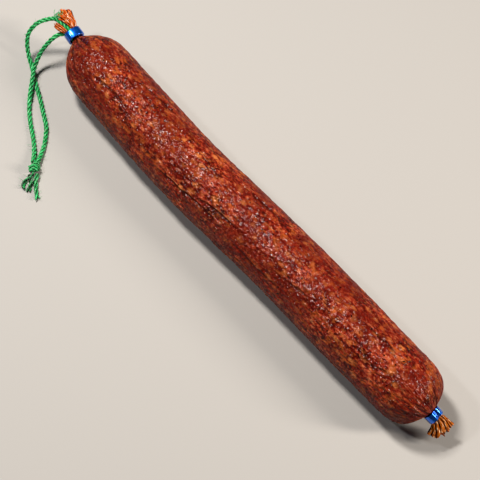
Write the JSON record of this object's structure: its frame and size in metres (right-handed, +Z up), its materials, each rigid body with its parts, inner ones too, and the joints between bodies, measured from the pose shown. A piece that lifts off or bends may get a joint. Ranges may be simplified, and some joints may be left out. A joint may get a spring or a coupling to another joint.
{
  "type": "cured sausage",
  "caption": "Whole dry-cured sausage lying on its side, closed by metal clips at both ends, with pleated casing tails and a knotted hanging loop of twine.",
  "frame": {"origin": "on the surface it lies on, below the middle of the bounding box of the sausage without its twine", "axes": "+X along the sausage, from the end with the twine to the plain end; +Z up"},
  "size_m": [0.3633, 0.1026, 0.0416],
  "materials": {
    "casing": "satin smoked collagen casing",
    "clip": "blue anodised",
    "twine": "matte twisted twine"
  },
  "bodies": {
    "root": {"sausage": "casing", "clip_loop_end": "clip", "clip_plain_end": "clip", "twine_upper_leg": "twine", "twine_lower_leg": "twine", "twine_knot": "twine", "twine_left_end": "twine", "twine_middle_end": "twine", "twine_right_end": "twine"}
  },
  "joints": []
}
